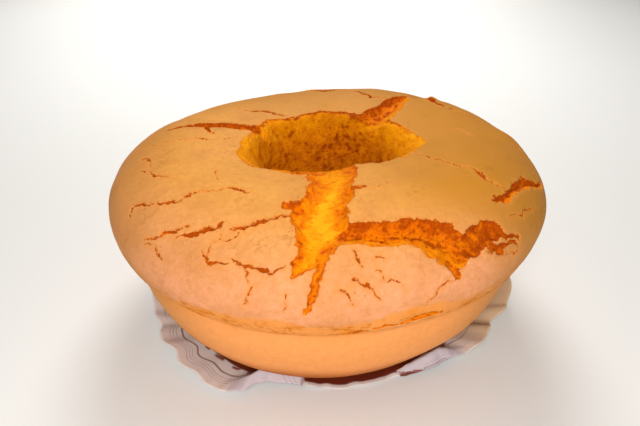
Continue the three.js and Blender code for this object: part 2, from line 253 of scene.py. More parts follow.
class CakeColours(bpy.types.PropertyGroup):
    """The colours of the crust, the crumb and the moulded side."""

    crust_top: colour_property("Crust top", "#eba54c", "Tan baked crust on top")
    # Browner from the oven, and darker as painted shade.
    crust_side: colour_property("Crust side", "#eea375", "Paler crust on the dome's side")
    crust_browned_and_shaded: colour_property("Browned crust", "#cb8824", "Crust where the oven browned it more")
    # Painted shade: a darker, duller tan over the far side and the left and right ends of the crust and of
    # the moulded side.
    painted_crust_shade: colour_property("Far crust", "#c08434", "Duller tan at the far side of the ring")
    crust_shade: colour_property("Crust mottle", "#cc8440", "Darker patches in the crust")
    crust_thin: colour_property("Thin crust", "#e89440", "Crust that thins towards a split")
    hairline: colour_property("Hairlines", "#a86424", "Hairline cracks and burst bubbles")
    # Sparse pale dots on the crust.
    pale_dot: colour_property("Sugar", "#f0cf9c", "Grains of sugar on the crust")
    lip: colour_property("Lip", "#f09a48", "Tender skin below the crust's edge")
    lip_rich: colour_property("Rich lip", "#e68c28", "Yolk-coloured patches in that skin")
    lip_torn: colour_property("Torn lip", "#d0700c", "Small tears along the foot of that skin")
    side: colour_property("Moulded side", "#f5a35e", "Smooth side that the tin shaped")
    side_shade: colour_property("Side mottle", "#e6914a", "Darker patches in the moulded side")
    # The foot of the side is browned, and darker as painted shade where it faces down.
    shaded_browned_foot: colour_property("Foot of the side", "#b45a08", "Browned edge of the base")
    # Brown crumb is also painted shade in pits and pores.
    crumb_brown: colour_property("Brown crumb", "#b44c00", "Crumb in a pit or under the crust")
    crumb_deep: colour_property("Deep crumb", "#e27200", "Crumb on the walls of a narrow split")
    crumb_orange: colour_property("Orange crumb", "#f08c00", "Crumb on the walls of a wide split")
    crumb_pale: colour_property("Pale crumb", "#feae14", "Yellow crumb in the middle of a wide split")
    # Hole brown is also painted shade in pits and pores.
    hole_brown: colour_property("Hole brown", "#a04600", "Pits and the crust's edge in the hole")
    hole_olive: colour_property("Hole olive", "#cc7300", "Crumb down the wall of the hole")
    hole_yellow: colour_property("Hole yellow", "#f09800", "Crumb near the rim of the hole")


class PaperSizes(bpy.types.PropertyGroup):
    """The sizes of the paper sheet."""

    flat_radius: size_property("Flat radius", 78, "Radius of the sheet's flat middle")
    thickness: size_property("Thickness", 0.3, "Thickness of the paper")
    curl: bpy.props.FloatProperty(
        name="Curl", description="How late the margin's rise comes", default=1.8, min=1.0)
    pleat_height: size_property("Pleat height", 1.5, "Height of the margin's small pleats")


class PaperColours(bpy.types.PropertyGroup):
    """The colours of the paper, its printed border, and the painted shade on it."""

    paper: colour_property("Paper", "#e4dad8", "White paper, a little grey")
    # Painted shade: the flaps at the front are a duller mauve.
    back: colour_property("Paper's back", "#c9bec8", "Duller back of the sheet, where it turns over")
    # Browner paper towards the right of the sheet.
    browner_right: colour_property("Greasy paper", "#d8bc9a", "Paper that the cake has made greasy")
    thin_line: colour_property("Thin lines", "#b09c9c", "Thin printed lines near the edge")
    thick_line: colour_property("Thick line", "#80605c", "Thicker printed line further in")
    marks: colour_property("Marks", "#8a3a24", "Printed bars near the cake")
    # Painted shadow: a dark ring round the cake's foot.
    foot_shadow: colour_property("Band", "#6e2a16", "Printed band round the cake's foot")


class StageSizes(bpy.types.PropertyGroup):
    """The table, the lights and the camera."""

    floor_width: size_property("Floor width", 8000, "Width of the pale floor")
    camera_distance: size_property("Camera distance", 368, "Distance from the camera to its target")
    target_height: size_property("Target height", 45, "Height of the camera's target")
    elevation: bpy.props.FloatProperty(
        name="Elevation", description="Angle that the camera looks down by",
        default=math.radians(32.4), subtype="ANGLE")
    roll: bpy.props.FloatProperty(
        name="Roll", description="Turn of the camera about its line of sight",
        default=math.radians(-0.3), subtype="ANGLE")
    lens: bpy.props.FloatProperty(
        name="Lens", description="Focal length", default=28.125, unit="CAMERA")
    floor_colour: colour_property("Floor", "#eff2f5", "Pale matt table")


# ---------------------------------------------------------------------------------------------
# Small tools


def add_node(tree, kind, inputs=None, output=None, ramp=(), **settings):
    """Adds a shader node, sets its properties and its ramp, and fills or links its inputs.

    Gives back the named output, or else the first that the settings leave in use.
    """
    node = tree.nodes.new("ShaderNode" + kind)
    for name, value in settings.items():
        setattr(node, name, value)
    for key, value in (inputs or {}).items():
        if isinstance(value, bpy.types.NodeSocket):
            tree.links.new(value, node.inputs[key])
        else:
            node.inputs[key].default_value = value
    if ramp:
        elements = node.color_ramp.elements
        while len(elements) < len(ramp):
            elements.new(0.5)
        for element, (position, colour) in zip(elements, ramp):
            element.position = position
            element.color = colour
    if output:
        return node.outputs[output]
    return next((socket for socket in node.outputs if socket.enabled), None)


def new_material(name):
    """An empty node material, and the function that adds a node to it."""
    material = bpy.data.materials.new(name)
    material.use_nodes = True
    material.node_tree.nodes.clear()
    return material, partial(add_node, material.node_tree)


def smoothstep(values, low, high):
    """0 up to the low value, 1 from the high one, and eased between them."""
    share = np.clip((values - low) / (high - low), 0.0, 1.0)
    return share * share * (3.0 - 2.0 * share)


def along_stops(bearings, stops, column):
    """One column of the stops, eased from each stop's bearing to the next all the way round."""
    ordered = sorted(stops)
    angles = np.array([ordered[-1][0] - 360] + [s[0] for s in ordered] + [ordered[0][0] + 360], float)
    values = np.array([ordered[-1][column]] + [s[column] for s in ordered] + [ordered[0][column]], float)
    turned = (bearings + 180.0) % 360.0 - 180.0
    at = np.clip(np.searchsorted(angles, turned, side="right") - 1, 0, len(angles) - 2)
    share = smoothstep((turned - angles[at]) / (angles[at + 1] - angles[at]), 0.0, 1.0)
    return values[at] + (values[at + 1] - values[at]) * share


def wave(bearings, order, peak):
    """A cosine with the given number of crests round the ring, one of them at the peak's bearing."""
    return np.cos(np.radians(order * (bearings - peak)))


def grain(points, size, seed=0):
    """Smooth noise from about -1 to 1, with features of the given size."""
    shift = Vector((seed * 17.3, seed * 5.7, seed * 11.1))
    return np.array([noise.noise(Vector(p) / size + shift) for p in points])


def drift(points, size, seed=0):
    """Smooth noise vectors, with features of the given size.

    Their offsets come from the module's own seed, which is the clock's unless it is set.
    """
    noise.seed_set(DRIFT_SEED)
    shift = Vector((seed * 7.9, seed * 13.1, seed * 3.7))
    return np.array([noise.noise_vector(Vector(p) / size + shift) for p in points])


def pores(points, size, seed=0):
    """1 in the middle of each round pore and 0 between pores, for pores spaced by the size."""
    shift = Vector((seed * 9.1, seed * 2.3, seed * 6.7))
    nearest = np.array([noise.voronoi(Vector(p) / size + shift)[0][0] for p in points])
    return 1.0 - smoothstep(nearest, 0.12, 0.48)


def bearings_of(points):
    return np.degrees(np.arctan2(points[:, 1], points[:, 0]))


def vertex_values(mesh, name):
    """The vertices' places or normals, one row each."""
    values = np.empty(len(mesh.vertices) * 3)
    mesh.vertices.foreach_get(name, values)
    return values.reshape(-1, 3)


def kept_values(mesh, name):
    """The numbers that a mesh was made with, one for each vertex."""
    values = np.empty(len(mesh.vertices), np.float32)
    mesh.attributes[name].data.foreach_get("value", values)
    return values


def move_vertices(mesh, points):
    mesh.vertices.foreach_set("co", points.ravel())
    mesh.update()


def store(mesh, name, values):
    """Keeps one number for each vertex, for the material to read."""
    attribute = mesh.attributes.get(name) or mesh.attributes.new(name, "FLOAT", "POINT")
    attribute.data.foreach_set("value", np.asarray(values, np.float32))


def add_piece(name, mesh, material, node):
    """Puts a finished mesh in the scene in the place of a CAD node."""
    for polygon in mesh.polygons:
        polygon.use_smooth = True
    mesh.materials.append(material)
    piece = bpy.data.objects.new(name, mesh)
    bpy.context.scene.collection.objects.link(piece)
    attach(piece, "root")
    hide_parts(node)
    return piece


# ---------------------------------------------------------------------------------------------
# The cake


def quarter_round(level, upright, fullness, share):
    """A point on a quarter of a superellipse between a level end and an upright end."""
    angle = share * math.pi / 2
    out = math.sin(angle) ** (2 / fullness)
    up = math.cos(angle) ** (2 / fullness)
    return (level[0] + (upright[0] - level[0]) * out, upright[1] + (level[1] - upright[1]) * up)


def cake_section(sizes):
    """The closed section as (radius, height, reach), outwards along the base and back down the hole.

    The reach is the length over the crust from the axis: it is the radius on top of the cake.
    """
    base_height = CAKE_LOW.z
    base_edge = (sizes.base_radius, base_height)
    seam = (sizes.seam_radius, sizes.seam_height)
    widest = (sizes.crust_radius, sizes.widest_height)
    crest = (sizes.crest_radius, sizes.crest_height)
    rim = (sizes.rim_radius, sizes.rim_height)
    throat = (sizes.throat_radius, sizes.throat_height)
    foot = (sizes.hole_base_radius, base_height)

    def between(start, end, out, up):
        return (start[0] + (end[0] - start[0]) * out, start[1] + (end[1] - start[1]) * up)

    to_crest = (
        (lambda s: between(foot, base_edge, s, s), 5),
        (lambda s: quarter_round(base_edge, seam, BODY_FULLNESS, s), 22),
        (lambda s: quarter_round(seam, widest, LIP_FULLNESS, s), 14),
        (lambda s: quarter_round(crest, widest, DOME_FULLNESS, 1 - s), 38),
    )
    down_hole = (
        (lambda s: between(crest, rim, s, s * s), 18),
        (lambda s: quarter_round(rim, throat, DOME_FULLNESS, s), 28),
        (lambda s: between(throat, foot, s ** 1.5, s ** 1.5), 44),
    )
    points = []
    for point_at, steps in to_crest + down_hole:
        points += [point_at(i / steps) for i in range(steps)]
    crest_index = sum(steps for _, steps in to_crest)
    lengths = np.cumsum([0.0] + [math.dist(points[i], points[i + 1]) for i in range(len(points) - 1)])
    reaches = crest[0] - (lengths - lengths[crest_index])
    return [(r, z, reach) for (r, z), reach in zip(points, reaches)]


def rim_reach(sizes):
    """The reach of the torn rim in the even section."""
    section = cake_section(sizes)
    return min(section, key=lambda s: math.hypot(s[0] - sizes.rim_radius, s[1] - sizes.rim_height))[2]


def route_segments():
    """Every gorge and crack as segments: two stops, two tones, the floor's side, the brown brink."""
    segments = []
    for first_tone, last_tone, floor_side, brink, *stops in GORGES:
        tones = np.linspace(first_tone, last_tone, len(stops))
        segments += [
            (*ends, *pair, floor_side, brink)
            for ends, pair in zip(zip(stops, stops[1:]), zip(tones, tones[1:]))
        ]
    for half_width, depth, tone, *route in CRACKS:
        last = len(route) - 1
        swell = [min(1.0, 1.5 * math.sin(math.pi * (0.12 + 0.8 * i / last))) for i in range(len(route))]
        stops = [(b, reach, half_width * s, depth * s) for (b, reach), s in zip(route, swell)]
        segments += [(start, end, tone, tone, 0.0, 0.0) for start, end in zip(stops, stops[1:])]
    return segments


def on_plan(stop):
    """Where a stop's bearing and reach lie on the plan."""
    angle = math.radians(stop[0])
    return np.array([stop[1] * math.cos(angle), stop[1] * math.sin(angle)]) * MM


# What counts as far from every split.
FAR_OUTSIDE = -60 * MM


def splits_at(points, bearings, reaches):
    """How far inside a split each point lies, how deep it is there, and the crumb's tone.

    The first is in metres, and negative outside. Torn edges wander and are ragged, so the plan is
    drifted first, and the width of every split comes and goes along it.
    """
    angles = np.radians(bearings)
    flat = reaches[:, None] * np.stack([np.cos(angles), np.sin(angles)], axis=1)
    flat += 1.5 * MM * drift(points, 9 * MM)[:, :2] + 1.5 * MM * drift(points, 3.6 * MM, 1)[:, :2]
    flat += 0.8 * MM * drift(points, 1.8 * MM, 2)[:, :2]
    opening = 1.0 + 0.45 * grain(points, 5 * MM, 21) + 0.30 * grain(points, 2.2 * MM, 27)
    sway = grain(points, 13 * MM, 25)
    floor_shade_spots = smoothstep(grain(points, 3 * MM, 26), -0.1, 0.4)
    inside = np.full(len(points), FAR_OUTSIDE)
    depth = np.zeros(len(points))
    tone = np.zeros(len(points))
    for start, end, start_tone, end_tone, floor_side, brink in route_segments():
        first = on_plan(start)
        along = on_plan(end) - first
        outward = np.array([along[1], -along[0]]) / np.hypot(*along)
        outward *= 1.0 if outward @ (first + along / 2) > 0 else -1.0
        share = np.clip((flat - first) @ along / (along @ along), 0.0, 1.0)
        offset = flat - first - share[:, None] * along
        away = np.hypot(*offset.T)
        half_width = (start[2] + (end[2] - start[2]) * share) * MM
        fitful = np.clip(2.2 * MM / half_width, 0.0, 1.0)
        half_width = half_width * (1.0 + (opening - 1.0) * fitful)
        within = half_width - away
        across = np.clip(offset @ outward / half_width, -1.0, 1.0)
        room = np.where(across < floor_side, 1.0 + floor_side, 1.0 - floor_side)
        wall = np.abs(across - floor_side) / room
        steepness = np.where((across > floor_side) & (floor_side > 0), 1.2, 3.0)
        floor = (start[3] + (end[3] - start[3]) * share) * MM
        bowl = floor * (1.0 - np.clip(np.maximum(wall, away / half_width), 0.0, 1.0) ** steepness)
        here = start_tone + (end_tone - start_tone) * share
        if floor_side > 0:
            here = here + 0.18 * smoothstep(across + 0.3 * sway, -0.9, 0.0)
            here = here + 0.24 * smoothstep(across, floor_side, 0.7)
            # Painted shade: darker spots along the floor, where the walls meet.
            here = here - 0.45 * np.exp(-((across - floor_side + 0.1) / 0.18) ** 2) * floor_shade_spots
        else:
            here = here * (1.0 - 0.55 * smoothstep(np.abs(across + 0.45 * sway), 0.05, 0.7))
        browned = (1.0 - smoothstep(within, 0.1 * MM, 1.0 * MM)) * np.where(across < 0, 1.0, 0.4)
        here = here - brink * browned
        deeper = within > inside
        inside = np.where(deeper, within, inside)
        tone = np.where(deeper, here, tone)
        depth = np.maximum(depth, bowl)
    return inside, depth, tone


def refine_splits(bm, sizes):
    """Subdivides the mesh near every torn edge, until its edges are about half a millimetre."""
    for margin, pitch in ((3.2 * MM, 1.35 * MM), (1.3 * MM, 0.8 * MM)):
        points, bearings, reaches = even_ring_values(bm, sizes)
        inside, _, _ = splits_at(points, bearings, reaches)
        near = inside > -margin
        edges = [
            e for e in bm.edges
            if near[e.verts[0].index] and near[e.verts[1].index] and e.calc_length() > pitch
        ]
        bmesh.ops.subdivide_edges(bm, edges=edges, cuts=1, use_grid_fill=True)
    bmesh.ops.triangulate(bm, faces=[f for f in bm.faces if len(f.verts) > 4])


def even_ring_values(bm, sizes):
    """The points, bearings and reaches of a turned section, with the rim's wander in the reach."""
    bm.verts.index_update()
    layer = bm.verts.layers.float["reach"]
    points = np.array([v.co for v in bm.verts])
    reaches = np.array([v[layer] for v in bm.verts])
    bearings = bearings_of(points)
    return points, bearings, reaches + rim_wander(bearings, reaches, sizes)


def rim_wander(bearings, reaches, sizes):
    """How far outwards the torn rim has moved: all of it at the rim, less away from it."""
    wander = along_stops(bearings, RIM_STOPS, 1) * MM - sizes.rim_radius
    rim = rim_reach(sizes)
    inner = smoothstep(reaches, rim - 30 * MM, rim)
    outer = 1.0 - smoothstep(reaches, rim, sizes.crest_radius)
    return wander * inner * outer


def turn_section(sizes):
    """The even ring: its section turned about the axis and refined where the crust has split."""
    bm = bmesh.new()
    layer = bm.verts.layers.float.new("reach")
    verts = []
    for radius, height, reach in cake_section(sizes):
        vert = bm.verts.new((radius, 0.0, height))
        vert[layer] = reach
        verts.append(vert)
    edges = [bm.edges.new(pair) for pair in zip(verts, verts[1:] + verts[:1])]
    bmesh.ops.spin(
        bm, geom=verts + edges, cent=(0, 0, 0), axis=(0, 0, 1), angle=math.tau,
        steps=sizes.steps_around, use_merge=True)
    bmesh.ops.recalc_face_normals(bm, faces=bm.faces)
    refine_splits(bm, sizes)
    mesh = bpy.data.meshes.new("cake_ring_skin")
    bm.to_mesh(mesh)
    bm.free()
    return mesh


def shape_ring(mesh, sizes):
    """Leans and spreads the even ring, wanders its torn rim, and cuts the splits into it."""
    points = vertex_values(mesh, "co")
    even = points.copy()
    bearings = bearings_of(points)
    radii = np.hypot(points[:, 0], points[:, 1])
    reaches = kept_values(mesh, "reach")
    wander = rim_wander(bearings, reaches, sizes)
    inside, depth, tone = splits_at(even, bearings, reaches + wander)

    # Splits stay on the crust, clear of the hole's lower wall and of the side that the tin shaped.
    on_crust = smoothstep(reaches, 18 * MM, 44 * MM) * (1.0 - smoothstep(reaches, 184 * MM, 192 * MM))
    inside = np.where(on_crust > 0, inside, FAR_OUTSIDE)
    depth = depth * on_crust

    # The hole is torn all the way down from its ragged rim.
    below_rim = rim_reach(sizes) - reaches
    raggedness = 0.6 + 0.7 * smoothstep(wave(bearings, 1, FAR), -0.3, 0.3)
    rags = 1.9 * grain(even, 6 * MM, 3) + 1.5 * grain(even, 2.4 * MM, 4)
    ragged_rim = below_rim + raggedness * MM * rags
    in_hole = np.where(ragged_rim > inside, 1.0, smoothstep(below_rim, -1 * MM, 3 * MM))
    tone = tone + (hole_tone(bearings, below_rim, ragged_rim) - tone) * in_hole
    torn = np.maximum(inside, ragged_rim)

    height_share = points[:, 2] / sizes.crest_height
    radii += wander + sizes.spread * height_share * wave(bearings, 2, SPREAD_BEARING)
    points[:, 2] += height_share * sizes.lean * wave(bearings, 1, LEAN_BEARING)
    for order, height, crest_bearing in TOP_WAVES:
        points[:, 2] += height_share ** 2 * height * MM * wave(bearings, order, crest_bearing)
    above_edge = along_stops(bearings, CRUST_EDGE, 1) * MM - reaches + 1.8 * MM * grain(even, 9 * MM, 22)
    swell = crust_swell(even, points[:, 2], bearings, reaches, above_edge)

    # The crumb lies a step below the crust, whose brink curls up a little. Steep parts move
    # inwards as well as down.
    step = smoothstep(torn, 0.0, 0.9 * MM) * smoothstep(depth + ragged_rim, 0.0, 1.5 * MM)
    brink = 0.35 * MM * np.exp(np.minimum(torn, 0.0) / (2.5 * MM)) * smoothstep(-torn, -0.2 * MM, 0.3 * MM)
    relief = depth + sizes.crust_thickness * step * on_crust - swell - brink * on_crust
    steep = smoothstep(radii, sizes.crest_radius, sizes.crust_radius) * (points[:, 2] > 60 * MM)
    inwards = 0.6 * np.where(reaches > sizes.crest_radius, steep, 0.0)
    radii -= relief * inwards
    points[:, 0] = radii * np.cos(np.radians(bearings)) + sizes.sideways * height_share ** 2
    points[:, 1] = radii * np.sin(np.radians(bearings))
    points[:, 2] -= relief * (1.0 - inwards) * (reaches > 36 * MM)
    move_vertices(mesh, points)
    store(mesh, "torn", torn / MM)
    store(mesh, "tone", tone)
    store(mesh, "above_edge", above_edge / MM)
    return torn, smoothstep(below_rim, 3 * MM, 12 * MM), even


def crust_swell(even, heights, bearings, reaches, above_edge):
    """How far the surface stands out from the even section, apart from its splits."""
    swell = 1.0 * MM * grain(even, 48 * MM, 5) + 0.4 * MM * grain(even, 16 * MM, 6)
    swell *= smoothstep(heights, 2 * MM, 20 * MM)
    for bearing, reach, width, height in SWELLINGS:
        middle = on_plan((bearing, reach))
        off = np.hypot(reaches * np.cos(np.radians(bearings)) - middle[0],
                       reaches * np.sin(np.radians(bearings)) - middle[1])
        swell += height * MM * np.exp(-(off / (width * MM)) ** 2)

    # The crust's lower edge stands out a little from the tender skin below it.
    on_body = 1.0 - smoothstep(reaches, 186 * MM, 200 * MM)
    swell += 0.8 * MM * (smoothstep(above_edge, -0.8 * MM, 1.2 * MM) - 0.5) * on_body

    # The foot bulges at the front right.
    foot = smoothstep(reaches, 208 * MM, 232 * MM) * (1.0 - smoothstep(reaches, 250 * MM, 262 * MM))
    swell += 2.6 * MM * foot * np.exp(-((bearings + 60) / 18) ** 2)

    # Low folds about 7 mm apart run along the crust above its edge, in places.
    folds = np.sin((above_edge + 2 * MM * grain(even, 22 * MM, 23)) / (1.15 * MM))
    folded = smoothstep(above_edge, -1 * MM, 1 * MM) * (1.0 - smoothstep(above_edge, 8 * MM, 16 * MM))
    swell += 0.28 * MM * folds * folded * smoothstep(grain(even, 26 * MM, 24), -0.3, 0.4)
    return swell


def hole_tone(bearings, below_rim, ragged_rim):
    """The crumb's tone down the hole: a brown crust edge, then yellow, then browner with depth, and a little
    paler again below 30 mm as painted light.
    """
    fade = smoothstep(below_rim, 4 * MM, 30 * MM)
    deep = smoothstep(below_rim, 30 * MM, 56 * MM)
    side = 0.11 * wave(bearings, 2, 0) - 0.05 * wave(bearings, 1, 0)
    left = 0.32 * fade * smoothstep(wave(bearings, 1, -176), 0.84, 0.98)
    # Painted light: the tone rises again deep in the hole.
    tone = 0.72 - 0.38 * fade + 0.16 * deep + side + left

    # The edge is browner and thicker on the far side, most of all beside the far gorge.
    far = smoothstep(wave(bearings, 1, FAR), -0.1, 0.5)
    brown_edge = 3.2 * MM + 6 * MM * np.exp(-((bearings - 56) / 9) ** 2)
    tone = tone - 0.6 * far * (1.0 - smoothstep(ragged_rim / brown_edge, 0.25, 1.0))
    near = smoothstep(wave(bearings, 1, -105), 0.2, 0.7)
    return tone - 0.30 * near * (1.0 - smoothstep(ragged_rim, 1 * MM, 5 * MM))


def roughen_crumb(mesh, torn, in_hole, even):
    """Gives the torn crumb its pores and lumps, along the surface's own normals."""
    points = vertex_values(mesh, "co")
    normals = vertex_values(mesh, "normal")
    chosen = np.flatnonzero((torn > 0.2 * MM) & (even[:, 2] > 3 * MM))
    where = even[chosen]
    deep = in_hole[chosen]

    # The hole's wall is smoother at its top, and to the left and right.
    fine = 1.0 - deep * smoothstep(-where[:, 2], -112 * MM, -88 * MM)
    sideways = np.abs(where[:, 0]) / np.hypot(where[:, 0], where[:, 1])
    rough = 1.0 - 0.8 * deep * smoothstep(sideways, 0.70, 0.92)
    lumps = (0.45 + 0.25 * deep) * MM * grain(where, 5 * MM, 7)
    lumps = lumps + 0.35 * MM * grain(where, 2.2 * MM, 8) * fine * rough
    lumps += 1.6 * MM * deep * grain(where, 12 * MM, 15)

    # Upright folds run down its left.
    folded = deep * smoothstep(-where[:, 0], 20 * MM, 40 * MM)
    lumps += 0.5 * MM * folded * grain(where * np.array([1.0, 1.0, 0.25]), 8 * MM, 17)
    patch = smoothstep(grain(where, 16 * MM, 16), -0.25, 0.25)
    high = smoothstep(where[:, 2], 45 * MM, 75 * MM)
    holes = 1.2 * MM * pores(where, 5.5 * MM, 9) * patch * deep * (0.25 + 0.75 * high)
    holes += 0.6 * MM * pores(where, 2.8 * MM, 10) * (0.3 + 0.7 * patch) * fine
    holes *= rough
    amount = smoothstep(torn[chosen], 0.2 * MM, 2.0 * MM)
    points[chosen] += normals[chosen] * ((lumps - holes) * amount)[:, None]
    move_vertices(mesh, points)
    # The pores' depths, which the material paints darker as painted shade.
    dips = np.zeros(len(points))
    dips[chosen] = holes / MM
    store(mesh, "dips", dips)


def sponge_material(colours):
    """Baked sponge: a dry, matt crust, and open yellow crumb where it has torn."""
    material, add = new_material("baked_sponge")
    place = add("TexCoord", output="Object")
    reach, torn, tone, dips, above_edge = (
        add("Attribute", output="Fac", attribute_name=name)
        for name in ("reach", "torn", "tone", "dips", "above_edge")
    )
    across = add("SeparateXYZ", {"Vector": place}, "X")
    back = across.node.outputs["Y"]
    to_side = add("Math", {0: across}, operation="ABSOLUTE")

    # The crust is tan on top and paler down its side, in soft patches a few centimetres across.
    down_side = add("MapRange", {"Value": reach, "From Min": 0.100, "From Max": 0.150})
    patches = add("TexNoise", {"Vector": place, "Scale": 1 / 0.026, "Detail": 5.0, "Roughness": 0.6})
    patch_share = add("MapRange", {"Value": patches, "From Min": 0.42, "From Max": 0.72, "To Max": 0.5})

    # The top of the right side is browner from the oven, and darker as painted shade.
    to_right = add(
        "MapRange", {"Value": across, "From Min": 0.0, "From Max": 0.070}, interpolation_type="SMOOTHSTEP")
    to_back = add(
        "MapRange", {"Value": back, "From Min": -0.125, "From Max": -0.075}, interpolation_type="SMOOTHSTEP")
    browned = add("Math", {0: to_right, 1: to_back}, operation="MULTIPLY")

    # The far side, and a little the left and right sides, are a duller, darker tan as painted shade.
    far_side_shade = add(
        "MapRange", {"Value": back, "From Min": 0.02, "From Max": 0.10, "To Max": 0.9},
        interpolation_type="SMOOTHSTEP")
    shaded_sides = add(
        "MapRange", {"Value": to_side, "From Min": 0.070, "From Max": 0.120, "To Max": 0.55},
        interpolation_type="SMOOTHSTEP")
    shaded_far_and_sides = add("Math", {0: far_side_shade, 1: shaded_sides}, operation="MAXIMUM")

    # Fine mottling 3 mm across, and specks half as wide.
    mottle = add("TexNoise", {"Vector": place, "Scale": 1 / 0.0035, "Detail": 5.0, "Roughness": 0.7})
    mottle_share = add("MapRange", {"Value": mottle, "From Min": 0.44, "From Max": 0.72, "To Max": 0.50})
    specks = add("TexNoise", {"Vector": place, "Scale": 1 / 0.0014, "Detail": 3.0, "Roughness": 0.6})
    speck_share = add("MapRange", {"Value": specks, "From Min": 0.50, "From Max": 0.72, "To Max": 0.30})

    # Near a split the crust is thin, and the yellow crumb shows through it.
    thin_noise = add("TexNoise", {"Vector": place, "Scale": 1 / 0.007, "Detail": 3.0})
    thin_reach = add("Math", {0: thin_noise, 1: 6.0, 2: torn}, operation="MULTIPLY_ADD")
    thin = add("MapRange", {"Value": thin_reach, "From Min": 0.5, "From Max": 3.5, "To Max": 0.5})

    # Crazing: crooked hairlines about 6 mm apart, in places.
    warp = add("TexNoise", {"Vector": place, "Scale": 1 / 0.006, "Detail": 3.0}, "Color")
    warped = add("VectorMath", {0: warp, 1: (0.011, 0.011, 0.011), 2: place}, operation="MULTIPLY_ADD")
    scales = add("TexVoronoi", {"Vector": warped, "Scale": 1 / 0.006}, feature="DISTANCE_TO_EDGE")
    hairline = add("MapRange", {"Value": scales, "From Min": 0.09, "From Max": 0.02})
    where = add("TexNoise", {"Vector": place, "Scale": 1 / 0.018, "Detail": 3.0})
    in_places = add("MapRange", {"Value": where, "From Min": 0.54, "From Max": 0.68, "To Max": 0.38})
    crazing = add("Math", {0: hairline, 1: in_places}, operation="MULTIPLY")

    # Pale dots and burst bubbles, both under a millimetre wide and sparse.
    dots = add("TexVoronoi", {"Vector": place, "Scale": 1 / 0.0045})
    dot = add("MapRange", {"Value": dots, "From Min": 0.12, "From Max": 0.06})
    chance = add("SeparateColor", {"Color": dots.node.outputs["Color"]})
    is_pale_dot = add("Math", {0: chance, 1: 0.95}, operation="GREATER_THAN")
    is_bubble = add("Math", {0: chance, 1: 0.10}, operation="LESS_THAN")
    pale_dots = add("Math", {0: dot, 1: is_pale_dot}, operation="MULTIPLY")
    bubbles = add("Math", {0: dot, 1: is_bubble}, operation="MULTIPLY")
    faint_bubbles = add("Math", {0: bubbles, 1: 0.6}, operation="MULTIPLY")

    # The tender skin under the crust's edge has yolk-coloured patches about a centimetre across.
    edge_noise = add("TexNoise", {"Vector": place, "Scale": 1 / 0.004, "Detail": 4.0, "Roughness": 0.6})
    edge_place = add("Math", {0: edge_noise, 1: 7.0, 2: above_edge}, operation="MULTIPLY_ADD")
    in_lip = add("MapRange", {"Value": edge_place, "From Min": 5.2, "From Max": 2.0, "To Max": 0.9})
    yolk = add("TexNoise", {"Vector": place, "Scale": 1 / 0.012, "Detail": 4.0, "Roughness": 0.6})
    yolk_share = add("MapRange", {"Value": yolk, "From Min": 0.48, "From Max": 0.64, "To Max": 0.75})
    rich = add("Math", {0: yolk_share, 1: in_lip}, operation="MULTIPLY")

    # Small tears along the foot of that skin, a millimetre or two high and several times as long.
    flattened = add("VectorMath", {0: place, 1: (1.0, 1.0, 2.6)}, operation="MULTIPLY")
    tears = add("TexNoise", {"Vector": flattened, "Scale": 1 / 0.0045, "Detail": 5.0, "Roughness": 0.68})
    tear_share = add("MapRange", {"Value": tears, "From Min": 0.50, "From Max": 0.57, "To Max": 0.9})
    below_lip = add("MapRange", {"Value": reach, "From Min": 0.1610, "From Max": 0.1655})
    above_side = add("MapRange", {"Value": reach, "From Min": 0.182, "From Max": 0.176})
    at_foot = add("Math", {0: below_lip, 1: above_side}, operation="MULTIPLY")
    in_patches = add("MapRange", {"Value": yolk, "From Min": 0.42, "From Max": 0.52, "To Max": 0.9})
    tear_place = add("Math", {0: at_foot, 1: in_patches}, operation="MULTIPLY")
    lip_tears = add("Math", {0: tear_share, 1: tear_place}, operation="MULTIPLY")

    # The side that the tin shaped is mottled, and darker to the left and right as painted shade. Its foot is
    # browned, and darker still as painted shade.
    in_side = add("MapRange", {"Value": above_edge, "From Min": -9.0, "From Max": -24.0})
    side = add("Mix", {0: mottle_share, 6: colours.side, 7: colours.side_shade}, data_type="RGBA")
    side_ends = add(
        "MapRange", {"Value": to_side, "From Min": 0.055, "From Max": 0.105, "To Max": 0.45},
        interpolation_type="SMOOTHSTEP")
    under_crust = add("MapRange", {"Value": reach, "From Min": 0.158, "From Max": 0.164})
    shaded_side_ends = add("Math", {0: side_ends, 1: under_crust}, operation="MULTIPLY")
    # The browned foot, darker as painted shade.
    in_shaded_foot = add(
        "MapRange", {"Value": reach, "From Min": 0.211, "From Max": 0.236}, interpolation_type="SMOOTHSTEP")

    # All of these lie over one another in this order.
    skin = colours.crust_top
    for share, colour in (
        (down_side, colours.crust_side),
        (patch_share, colours.crust_shade),
        # Browner, and darker as painted shade, on the top of the right side.
        (browned, colours.crust_browned_and_shaded),
        # Painted shade on the far side and at the sides.
        (shaded_far_and_sides, colours.painted_crust_shade),
        (mottle_share, colours.crust_shade),
        (speck_share, colours.crust_shade),
        (thin, colours.crust_thin),
        (crazing, colours.hairline),
        (pale_dots, colours.pale_dot),
        (faint_bubbles, colours.hairline),
        (in_lip, colours.lip),
        (rich, colours.lip_rich),
        (in_side, side),
        # Painted shade at the left and right ends of the moulded side.
        (shaded_side_ends, colours.painted_crust_shade),
        (lip_tears, colours.lip_torn),
        (in_shaded_foot, colours.shaded_browned_foot),
    ):
        skin = add("Mix", {0: share, 6: skin, 7: colour}, data_type="RGBA")

